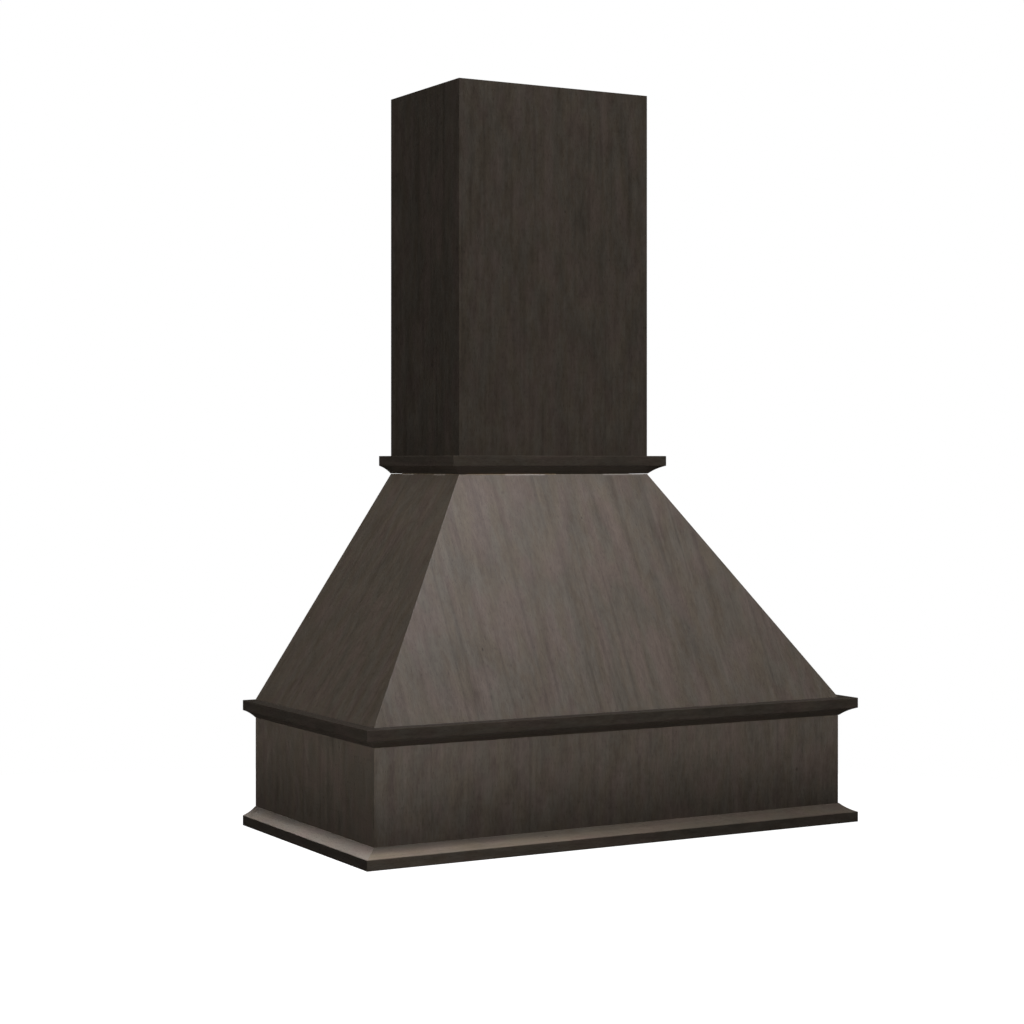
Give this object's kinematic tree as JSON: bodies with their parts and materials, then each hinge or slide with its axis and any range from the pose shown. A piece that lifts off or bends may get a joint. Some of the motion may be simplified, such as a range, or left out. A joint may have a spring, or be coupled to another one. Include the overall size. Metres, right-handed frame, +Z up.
{
  "type": "range hood cover",
  "caption": "Wall-hung wooden range hood cover: apron box, tapered canopy and square chimney, with mitred moulding at foot, waist and neck, open inside for an insert and duct.",
  "frame": {"origin": "on the wall plane, in the middle of the underside's back edge", "axes": "+Z up along the chimney, +Y into the wall, +X to the right of someone facing the cover"},
  "size_m": [0.9144, 0.4572, 1.2192],
  "materials": {
    "stained_veneer": "open-pored veneer in an espresso stain under a satin lacquer, grain running from foot to head",
    "stained_moulding": "solid wood in the same espresso stain and satin lacquer, grain running along the run",
    "raw_plywood": "unfinished birch plywood with layered edges",
    "raw_poplar": "planed, unfinished poplar",
    "zinc_screw": "yellow-passivated zinc"
  },
  "bodies": {
    "root": {"apron_back_panel": "raw_plywood", "apron_front_panel": "stained_veneer", "apron_left_panel": "stained_veneer", "apron_mitre_splines": "raw_plywood", "apron_right_panel": "stained_veneer", "back_left_post": "raw_poplar", "back_right_post": "raw_poplar", "base_moulding_front": "stained_moulding", "base_moulding_left": "stained_moulding", "base_moulding_right": "stained_moulding", "canopy_front_nailer": "raw_poplar", "canopy_front_panel": "stained_veneer", "canopy_left_head_rail": "raw_plywood", "canopy_left_hip_block": "raw_poplar", "canopy_left_nailer": "raw_poplar", "canopy_left_panel": "stained_veneer", "canopy_mitre_splines": "raw_plywood", "canopy_right_head_rail": "raw_plywood", "canopy_right_hip_block": "raw_poplar", "canopy_right_nailer": "raw_poplar", "canopy_right_panel": "stained_veneer", "chimney_bottom_back_rail": "raw_poplar", "chimney_foot_screws": "zinc_screw", "chimney_front_panel": "stained_veneer", "chimney_left_corner_block": "raw_poplar", "chimney_left_foot_cleat": "raw_poplar", "chimney_left_head_cleat": "raw_poplar", "chimney_left_panel": "stained_veneer", "chimney_mitre_splines": "raw_plywood", "chimney_right_corner_block": "raw_poplar", "chimney_right_foot_cleat": "raw_poplar", "chimney_right_head_cleat": "raw_poplar", "chimney_right_panel": "stained_veneer", "chimney_top_back_rail": "raw_poplar", "front_left_post": "raw_poplar", "front_right_post": "raw_poplar", "hanging_rail": "raw_poplar", "hanging_rail_left_block": "raw_poplar", "hanging_rail_right_block": "raw_poplar", "insert_frame_back": "raw_plywood", "insert_frame_front": "raw_plywood", "insert_frame_left": "raw_plywood", "insert_frame_right": "raw_plywood", "insert_frame_screws": "zinc_screw", "ledger_back": "raw_poplar", "ledger_front": "raw_poplar", "ledger_left": "raw_poplar", "ledger_right": "raw_poplar", "ledger_screws": "zinc_screw", "neck_moulding_front": "stained_moulding", "neck_moulding_left": "stained_moulding", "neck_moulding_right": "stained_moulding", "waist_moulding_front": "stained_moulding", "waist_moulding_left": "stained_moulding", "waist_moulding_right": "stained_moulding", "wall_cleat": "raw_poplar"}
  },
  "joints": []
}
